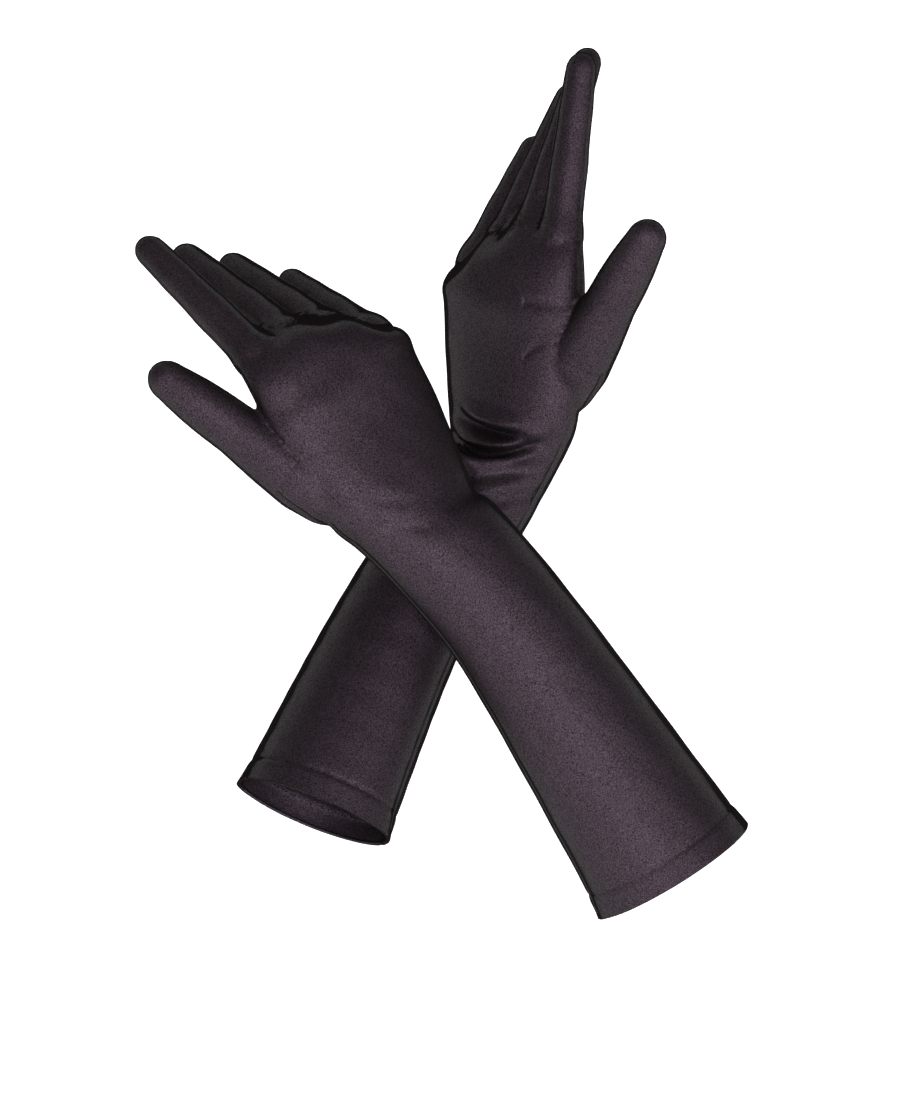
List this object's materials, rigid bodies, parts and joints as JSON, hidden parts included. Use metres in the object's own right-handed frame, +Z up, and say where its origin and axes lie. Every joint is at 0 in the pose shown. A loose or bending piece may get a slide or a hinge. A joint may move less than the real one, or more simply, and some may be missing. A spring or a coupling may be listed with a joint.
{
  "type": "opera gloves",
  "caption": "Elbow-length opera gloves in stretch satin, as worn on crossed forearms, with jointed wrists, thumbs and fingers and folded cuff hems.",
  "frame": {"origin": "centre of the left cuff's opening, where the wearer's forearm enters", "axes": "+Z up along the raised forearms, +X to the viewer's right, -Y out of the backs of both hands"},
  "size_m": [0.272, 0.1319, 0.3918],
  "materials": {
    "satin": "stretch satin, dark plum black, soft broad sheen",
    "hem_satin": "folded stretch satin with a zigzag hem stitch"
  },
  "bodies": {
    "left_sleeve": {"left_sleeve_back": "satin", "left_sleeve_palm": "satin", "left_cuff_hem": "hem_satin", "left_wrist_back": "satin", "left_wrist_palm": "satin"},
    "left_hand": {"left_hand_back": "satin", "left_hand_palm": "satin", "left_thumb_gusset": "satin"},
    "left_index_base": {"left_index_back": "satin", "left_index_palm": "satin", "left_index_fourchette_inner": "satin"},
    "left_index_end": {"left_index_tip": "satin"},
    "left_middle_base": {"left_middle_back": "satin", "left_middle_palm": "satin", "left_middle_fourchette_inner": "satin", "left_middle_fourchette_outer": "satin"},
    "left_middle_end": {"left_middle_tip": "satin"},
    "left_ring_base": {"left_ring_back": "satin", "left_ring_palm": "satin", "left_ring_fourchette_inner": "satin", "left_ring_fourchette_outer": "satin"},
    "left_ring_end": {"left_ring_tip": "satin"},
    "left_little_base": {"left_little_back": "satin", "left_little_palm": "satin", "left_little_fourchette_outer": "satin"},
    "left_little_end": {"left_little_tip": "satin"},
    "left_thumb_base": {"left_thumb_base": "satin"},
    "left_thumb_end": {"left_thumb_tip": "satin"},
    "right_sleeve": {"right_sleeve_back": "satin", "right_sleeve_palm": "satin", "right_cuff_hem": "hem_satin", "right_wrist_back": "satin", "right_wrist_palm": "satin"},
    "right_hand": {"right_hand_back": "satin", "right_hand_palm": "satin", "right_thumb_gusset": "satin"},
    "right_index_base": {"right_index_back": "satin", "right_index_palm": "satin", "right_index_fourchette_inner": "satin"},
    "right_index_end": {"right_index_tip": "satin"},
    "right_middle_base": {"right_middle_back": "satin", "right_middle_palm": "satin", "right_middle_fourchette_inner": "satin", "right_middle_fourchette_outer": "satin"},
    "right_middle_end": {"right_middle_tip": "satin"},
    "right_ring_base": {"right_ring_back": "satin", "right_ring_palm": "satin", "right_ring_fourchette_inner": "satin", "right_ring_fourchette_outer": "satin"},
    "right_ring_end": {"right_ring_tip": "satin"},
    "right_little_base": {"right_little_back": "satin", "right_little_palm": "satin", "right_little_fourchette_outer": "satin"},
    "right_little_end": {"right_little_tip": "satin"},
    "right_thumb_base": {"right_thumb_base": "satin"},
    "right_thumb_end": {"right_thumb_tip": "satin"}
  },
  "joints": [
    {"name": "gloves_part", "type": "slide", "parent": "left_sleeve", "child": "right_sleeve", "axis": [0, -1, 0], "range_m": [0, 0.1]},
    {"name": "left_wrist", "type": "hinge", "parent": "left_sleeve", "child": "left_hand", "pos_m": [0.0861, 0.043, 0.1623], "axis": [-0.7391, 0.6673, 0.0918], "range_deg": [-12, 30], "deforming": ["left_wrist_back", "left_wrist_palm"]},
    {"name": "left_index_root", "type": "hinge", "parent": "left_hand", "child": "left_index_base", "pos_m": [0.11432, 0.01635, 0.26948], "axis": [-0.7391, 0.6673, 0.0918], "range_deg": [-10, 40]},
    {"name": "left_index_fold", "type": "hinge", "parent": "left_index_base", "child": "left_index_end", "pos_m": [0.1173, 0.01638, 0.2933], "axis": [-0.7391, 0.6673, 0.0918], "range_deg": [-10, 40]},
    {"name": "left_middle_root", "type": "hinge", "parent": "left_hand", "child": "left_middle_base", "pos_m": [0.10452, 0.03334, 0.27186], "axis": [-0.7391, 0.6673, 0.0918], "range_deg": [-10, 40]},
    {"name": "left_middle_fold", "type": "hinge", "parent": "left_middle_base", "child": "left_middle_end", "pos_m": [0.11215, 0.03844, 0.29619], "axis": [-0.7391, 0.6673, 0.0918], "range_deg": [-10, 40]},
    {"name": "left_ring_root", "type": "hinge", "parent": "left_hand", "child": "left_ring_base", "pos_m": [0.09289, 0.04879, 0.26749], "axis": [-0.7391, 0.6673, 0.0918], "range_deg": [-10, 40]},
    {"name": "left_ring_fold", "type": "hinge", "parent": "left_ring_base", "child": "left_ring_end", "pos_m": [0.10212, 0.05613, 0.28839], "axis": [-0.7391, 0.6673, 0.0918], "range_deg": [-10, 40]},
    {"name": "left_little_root", "type": "hinge", "parent": "left_hand", "child": "left_little_base", "pos_m": [0.08063, 0.06194, 0.25945], "axis": [-0.7391, 0.6673, 0.0918], "range_deg": [-10, 40]},
    {"name": "left_little_fold", "type": "hinge", "parent": "left_little_base", "child": "left_little_end", "pos_m": [0.08846, 0.0684, 0.27551], "axis": [-0.7391, 0.6673, 0.0918], "range_deg": [-10, 40]},
    {"name": "left_thumb_root", "type": "hinge", "parent": "left_hand", "child": "left_thumb_base", "pos_m": [0.13295, 0.00121, 0.22904], "axis": [-0.9077, -0.1559, 0.3896], "range_deg": [-8, 25]},
    {"name": "left_thumb_fold", "type": "hinge", "parent": "left_thumb_base", "child": "left_thumb_end", "pos_m": [0.14189, -0.01103, 0.24499], "axis": [-0.9077, -0.1559, 0.3896], "range_deg": [-8, 25]},
    {"name": "right_wrist", "type": "hinge", "parent": "right_sleeve", "child": "right_hand", "pos_m": [0.0482, -0.022, 0.1303], "axis": [-0.7998, -0.4232, -0.4257], "range_deg": [-20, 20], "deforming": ["right_wrist_back", "right_wrist_palm"]},
    {"name": "right_index_root", "type": "hinge", "parent": "right_hand", "child": "right_index_base", "pos_m": [-0.03179, -0.02045, 0.20753], "axis": [-0.7604, -0.4219, -0.4936], "range_deg": [-10, 40]},
    {"name": "right_index_fold", "type": "hinge", "parent": "right_index_base", "child": "right_index_end", "pos_m": [-0.04729, -0.01048, 0.22291], "axis": [-0.7604, -0.4219, -0.4936], "range_deg": [-10, 40]},
    {"name": "right_middle_root", "type": "hinge", "parent": "right_hand", "child": "right_middle_base", "pos_m": [-0.01637, -0.00725, 0.21344], "axis": [-0.7998, -0.4232, -0.4257], "range_deg": [-10, 40]},
    {"name": "right_middle_fold", "type": "hinge", "parent": "right_middle_base", "child": "right_middle_end", "pos_m": [-0.03186, 0.00957, 0.22583], "axis": [-0.7998, -0.4232, -0.4257], "range_deg": [-10, 40]},
    {"name": "right_ring_root", "type": "hinge", "parent": "right_hand", "child": "right_ring_base", "pos_m": [0.00061, 0.00144, 0.21638], "axis": [-0.7998, -0.4232, -0.4257], "range_deg": [-10, 40]},
    {"name": "right_ring_fold", "type": "hinge", "parent": "right_ring_base", "child": "right_ring_end", "pos_m": [-0.01354, 0.01799, 0.2265], "axis": [-0.7998, -0.4232, -0.4257], "range_deg": [-10, 40]},
    {"name": "right_little_root", "type": "hinge", "parent": "right_hand", "child": "right_little_base", "pos_m": [0.01848, 0.00851, 0.21595], "axis": [-0.7998, -0.4232, -0.4257], "range_deg": [-10, 40]},
    {"name": "right_little_fold", "type": "hinge", "parent": "right_little_base", "child": "right_little_end", "pos_m": [0.00728, 0.02159, 0.22398], "axis": [-0.7998, -0.4232, -0.4257], "range_deg": [-10, 40]},
    {"name": "right_thumb_root", "type": "hinge", "parent": "right_hand", "child": "right_thumb_base", "pos_m": [-0.03155, -0.02995, 0.17076], "axis": [-0.555, 0.3743, -0.7429], "range_deg": [-8, 25]},
    {"name": "right_thumb_fold", "type": "hinge", "parent": "right_thumb_base", "child": "right_thumb_end", "pos_m": [-0.04948, -0.03137, 0.18344], "axis": [-0.555, 0.3743, -0.7429], "range_deg": [-8, 25]}
  ]
}
